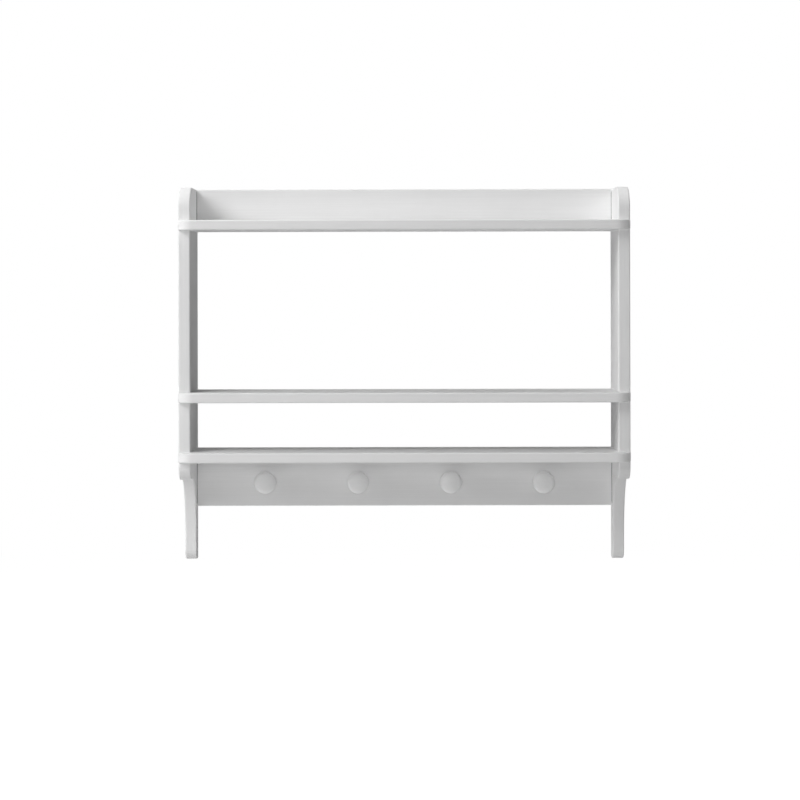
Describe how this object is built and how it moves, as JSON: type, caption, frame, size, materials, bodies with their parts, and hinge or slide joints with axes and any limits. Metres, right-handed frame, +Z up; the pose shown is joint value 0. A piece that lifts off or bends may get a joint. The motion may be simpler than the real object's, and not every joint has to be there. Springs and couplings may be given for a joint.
{
  "type": "shaker peg rail with shelf",
  "caption": "Wall-hung white painted shelf with shaped side panels, open bays, shelves with rounded overhanging fronts, a low backboard and a rail of mushroom pegs below.",
  "frame": {"origin": "on the wall plane, midway between the round entries of the two keyhole plates in the backboard's back, 30 mm below the top of the side panels", "axes": "+X to the right as seen from the room, +Y into the wall, +Z up; the front faces -Y"},
  "size_m": [0.68, 0.13, 0.574],
  "materials": {
    "side_panels": "satin white paint",
    "shelves": "satin white paint",
    "boards": "satin white paint",
    "pegs": "satin white paint, turned",
    "dowels": "bare birch",
    "screws": "zinc plated",
    "hanger_plates": "zinc plated, pressed"
  },
  "bodies": {
    "root": {"left_side_panel": "side_panels", "right_side_panel": "side_panels", "top_shelf": "shelves", "middle_shelf": "shelves", "bottom_shelf": "shelves", "backboard": "boards", "peg_board": "boards", "peg_1": "pegs", "peg_2": "pegs", "peg_3": "pegs", "peg_4": "pegs", "top_shelf_dowels": "dowels", "middle_shelf_dowels": "dowels", "bottom_shelf_dowels": "dowels", "backboard_dowels": "dowels", "peg_board_dowels": "dowels", "backboard_screws": "screws", "peg_board_screws": "screws", "hanger_screws": "screws", "left_hanger_plate": "hanger_plates", "right_hanger_plate": "hanger_plates"}
  },
  "joints": []
}
